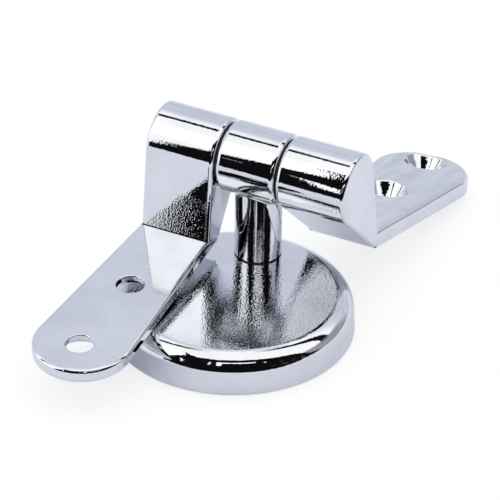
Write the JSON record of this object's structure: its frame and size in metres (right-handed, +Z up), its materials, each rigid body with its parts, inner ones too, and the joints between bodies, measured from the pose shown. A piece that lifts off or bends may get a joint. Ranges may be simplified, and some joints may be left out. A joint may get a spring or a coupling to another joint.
{
  "type": "toilet seat hinge",
  "caption": "Chrome toilet seat hinge: a round base and offset post carry a barrel on which a seat leaf and a lid leaf turn, each a flared plate with screw holes.",
  "frame": {"origin": "axis of the fixing bolt in the plane that the base stands on", "axes": "+Z up along the fixing bolt, X along the barrel with the seat leaf on the -X side, -Y to the front where the seat leaf lies"},
  "size_m": [0.057, 0.128, 0.0412],
  "materials": {
    "chrome_plate": "bright chrome plate on a zinc-alloy casting",
    "pad_rubber": "matt black rubber",
    "screw_steel": "zinc-plated steel",
    "pin_steel": "ground steel",
    "bush_nylon": "black nylon"
  },
  "bodies": {
    "base": {"base_rosette": "chrome_plate", "base_pad": "pad_rubber", "pillar": "chrome_plate", "pillar_screw": "screw_steel", "pillar_lock_washer": "screw_steel", "hinge_pin": "pin_steel"},
    "seat_leaf": {"seat_leaf": "chrome_plate", "seat_leaf_bush": "bush_nylon"},
    "lid_leaf": {"lid_leaf": "chrome_plate", "lid_leaf_bush": "bush_nylon"}
  },
  "joints": [
    {"name": "seat_swing", "type": "hinge", "parent": "base", "child": "seat_leaf", "pos_m": [-0.00219, 0.01706, 0.033], "axis": [-1, 0, 0], "range_deg": [0, 110]},
    {"name": "lid_swing", "type": "hinge", "parent": "base", "child": "lid_leaf", "pos_m": [-0.00219, 0.01706, 0.033], "axis": [1, 0, 0], "range_deg": [0, 192]}
  ]
}
